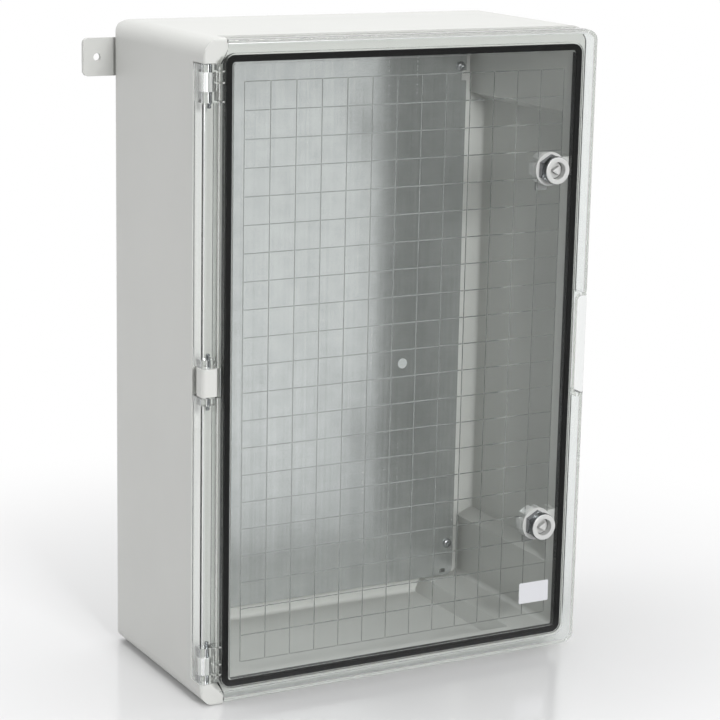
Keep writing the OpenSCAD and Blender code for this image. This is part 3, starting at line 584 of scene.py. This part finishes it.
lock_axes = {}
for side in ("upper", "lower"):
    low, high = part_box("lock_" + side + "_washer")
    lock_axes[side] = ((low[0] + high[0]) / 2, door_front, (low[2] + high[2]) / 2)
lock_x, _, lock_low = lock_axes["lower"]
lock_high = lock_axes["upper"][2]
chrome, tree, shader = new_material("chrome")
finish = add(tree, "ShaderNodeGroup", {"Color": chrome_tone, "Roughness": chrome_rough},
             node_tree=turned_group)
split = add(tree, "ShaderNodeSeparateXYZ", {"Vector": object_place(tree)}).outputs
aside = worked(tree, "SUBTRACT", split["X"], lock_x)
from_middle = worked(tree, "ABSOLUTE", worked(tree, "SUBTRACT", split["Z"], (lock_high + lock_low) / 2))
above = worked(tree, "SUBTRACT", from_middle, (lock_high - lock_low) / 2)
offset = add(tree, "ShaderNodeCombineXYZ", {"X": aside, "Y": above})
from_axis = add(tree, "ShaderNodeVectorMath", {0: offset.outputs["Vector"]}, operation="LENGTH")
in_ring = stretched(tree, from_axis.outputs["Value"], satin_ring)
satin = worked(tree, "MULTIPLY", in_ring, stretched(tree, split["Y"], satin_depth))
set_inputs(tree, shader, {
    "Base Color": mixed(tree, satin, finish.outputs["Color"], satin_tone, "RGBA"),
    "Roughness": mixed(tree, satin, finish.outputs["Roughness"], satin_rough),
    "Metallic": stretched(tree, satin, goal=(1.0, satin_metal))})
satin_face = dressed("satin_face", turned_group, {"Color": satin_tone, "Roughness": satin_rough}, satin_metal)
dull_zinc = dressed("dull_zinc", turned_group, {"Color": cam_tone, "Roughness": cam_rough}, cam_metal)
for side, axis in lock_axes.items():
    turning = "lock_" + side
    pieces = [("housing", housing_rows, True, chrome, "door", "chrome"),
              ("washer", washer_rows, True, white_nylon, "door", "white_nylon"),
              ("nut", nut_rows, True, white_nylon, "door", "white_nylon"),
              ("barrel", barrel_rows, False, satin_face, turning, "chrome"),
              ("cam", cam_rows, True, dull_zinc, turning, "bright_steel")]
    for part, rows, loop, material, body, slot in pieces:
        new_piece(side + "_lock_" + part, [(turned(rows, axis, "y", lock_angles), loop)], material,
                  body, slot, "lock_" + side + "_" + part)
    cam_face = (axis[0], door_front + cam_far, axis[2])
    new_piece(side + "_lock_cam_screw", [(turned(cam_screw_rows, cam_face, "y"), False)], bright_zinc,
              turning, "bright_steel", "lock_" + side + "_cam_screw")

# Studio: a white glossy table top that fades to white away from the cabinet, soft boxes, and the camera.
# The room is bright at the sides and behind, and dim in front, which is what the door mirrors.
white = (1, 1, 1, 1)
table_r, table_tone, table_rough = 1.0, (0.71, 0.71, 0.715, 1), 0.14
table_fade, table_front = (0.27, 0.75), (-0.11, -0.18)
dim_room = 0.12
half_bounce = 0.5
mirror_way, mirror_turn, mirror_light = (0.25, -0.97, 0.0), (0.1, 0.6), (1.0, dim_room)
dark_way = (-0.6, -0.8, 0.0)
soft_turn, soft_light = (0.0, 0.8), (0.75, 0.06)
gleam_turn, gleam_light = (0.3, 0.9), (1.1, 0.3)
lamp_aim = Vector((0.0, 0.0, 0.3))
disc = table_r * np.stack([np.cos(round_angles), np.sin(round_angles), np.zeros_like(round_angles)], axis=-1)
floor_mesh = bpy.data.meshes.new("table_top")
floor_mesh.from_pydata(disc.tolist(), [], [list(range(len(disc)))])
table_top = bpy.data.objects.new("table_top", floor_mesh)
bpy.context.scene.collection.objects.link(table_top)
table_white, tree, shader = new_material("table_white")
set_inputs(tree, shader, {"Base Color": table_tone, "Roughness": table_rough})
place = object_place(tree)
ray = add(tree, "ShaderNodeLightPath").outputs
reach = add(tree, "ShaderNodeVectorMath", {0: place}, operation="LENGTH").outputs["Value"]
fade = stretched(tree, reach, table_fade, interpolation_type="SMOOTHSTEP")
seen = worked(tree, "MAXIMUM", ray["Is Camera Ray"], ray["Is Transmission Ray"])
glow = add(tree, "ShaderNodeEmission", {"Color": white, "Strength": 1.0}).outputs["Emission"]
faded = layered(tree, worked(tree, "MULTIPLY", fade, seen), shader.outputs["BSDF"], glow)
ahead = add(tree, "ShaderNodeSeparateXYZ", {"Vector": place}).outputs["Y"]
before = stretched(tree, ahead, table_front, interpolation_type="SMOOTHSTEP")
turned_back = worked(tree, "GREATER_THAN", ray["Glossy Depth"], half_bounce)
mirrored = worked(tree, "MULTIPLY", turned_back, ray["Is Singular Ray"])
dim = add(tree, "ShaderNodeEmission", {"Color": white, "Strength": dim_room}).outputs["Emission"]
set_inputs(tree, tree.nodes["Material Output"],
           {"Surface": layered(tree, worked(tree, "MULTIPLY", mirrored, before), faded, dim)})
table_top.data.materials.append(table_white)


def facing(tree, place, way):
    """How far a place in the room lies towards a way: their dot product."""
    return add(tree, "ShaderNodeVectorMath", {0: place, 1: way}, operation="DOT_PRODUCT").outputs["Value"]


world = bpy.data.worlds.new("studio")
bpy.context.scene.world = world
world.use_nodes = True
tree = world.node_tree
ray = add(tree, "ShaderNodeLightPath").outputs
room = add(tree, "ShaderNodeTexCoord").outputs["Generated"]
to_dark = facing(tree, room, dark_way)
spread = mixed(tree, ray["Is Glossy Ray"], stretched(tree, to_dark, soft_turn, soft_light),
               stretched(tree, to_dark, gleam_turn, gleam_light))
mirror = stretched(tree, facing(tree, room, mirror_way), mirror_turn, mirror_light)
clear = worked(tree, "MAXIMUM", ray["Is Singular Ray"], ray["Is Transmission Ray"])
straight = worked(tree, "LESS_THAN", ray["Glossy Depth"], half_bounce)
through = worked(tree, "MULTIPLY", straight, ray["Is Transmission Ray"])
seen = worked(tree, "MAXIMUM", ray["Is Camera Ray"], through)
level = mixed(tree, seen, mixed(tree, clear, spread, mirror), 1.0)
set_inputs(tree, tree.nodes["Background"], {"Color": white, "Strength": level})


def soft_box(name, place, width, height, watts, shines):
    """Rectangular lamp at a place, turned to the cabinet; one that doesn't shine shows in no gloss."""
    lamp = bpy.data.lights.new(name, "AREA")
    lamp.shape = "RECTANGLE"
    lamp.size = width
    lamp.size_y = height
    lamp.energy = watts
    holder = bpy.data.objects.new(name, lamp)
    holder.location = place
    holder.rotation_euler = (lamp_aim - Vector(place)).to_track_quat("-Z", "Y").to_euler()
    holder.visible_glossy = shines
    bpy.context.scene.collection.objects.link(holder)


soft_box("box_left", (-2.4, 0.4, 1.0), 1.5, 1.7, 16.0, False)
soft_box("box_front", (-0.15, -2.6, 1.15), 0.7, 0.8, 56.0, True)
soft_box("box_top", (-0.1, 0.2, 2.3), 1.5, 1.5, 22.0, True)

camera_place = Vector((-1.0276, -1.9112, 0.7894))
forward = Vector((0.46472, 0.8557, -0.22764)).normalized()
right = Vector((0.88079, -0.4731, 0.01973))
right = (right - forward * right.dot(forward)).normalized()
up = right.cross(forward)
lens = bpy.data.cameras.new("camera")
lens.sensor_width = 36.0
lens.lens = 117.398
camera = bpy.data.objects.new("camera", lens)
turn = Matrix((right, up, -forward)).transposed().to_4x4()
camera.matrix_world = Matrix.Translation(camera_place) @ turn
bpy.context.scene.collection.objects.link(camera)
bpy.context.scene.camera = camera
bpy.context.scene.view_settings.view_transform = "Standard"
